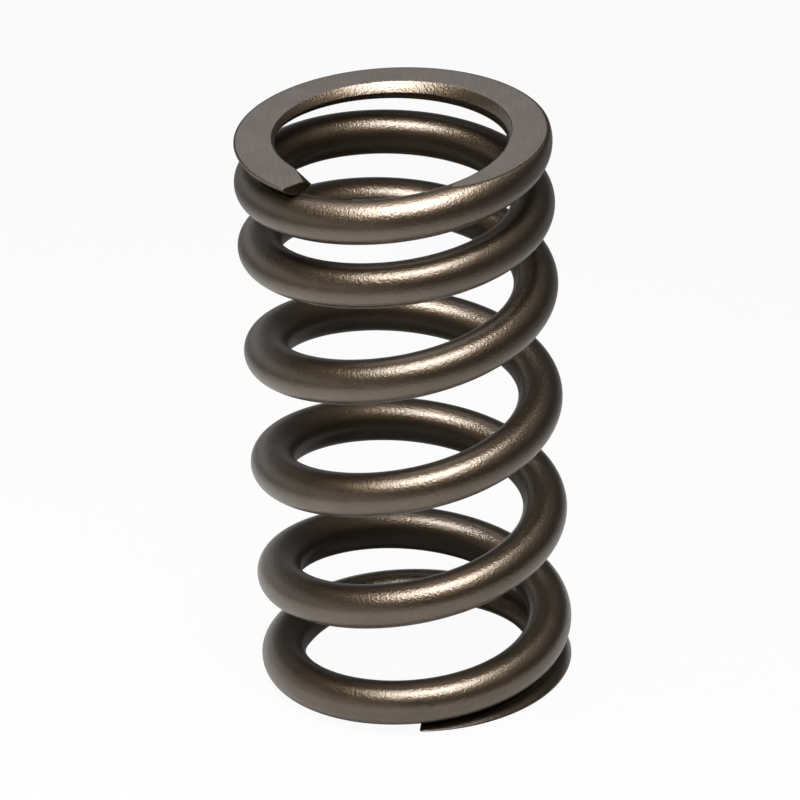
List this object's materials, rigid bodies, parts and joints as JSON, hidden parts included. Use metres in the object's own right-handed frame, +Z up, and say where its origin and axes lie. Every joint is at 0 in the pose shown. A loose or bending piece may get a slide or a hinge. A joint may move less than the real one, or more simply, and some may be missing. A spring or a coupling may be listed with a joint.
{
  "type": "helical compression spring for an engine valve",
  "caption": "Right-hand helical compression spring of round wire, open coils below, closer coils above, both ends closed, ground flat and bevelled.",
  "frame": {"origin": "on the spring's axis, in the plane of the lower ground face", "axes": "+Z up along the axis to the upper ground face, where the close-wound coils are; -Y towards the lower wire end"},
  "size_m": [0.032, 0.032, 0.06],
  "materials": {
    "spring_steel": "satin"
  },
  "bodies": {
    "root": {"valve_spring": "spring_steel"}
  },
  "joints": []
}
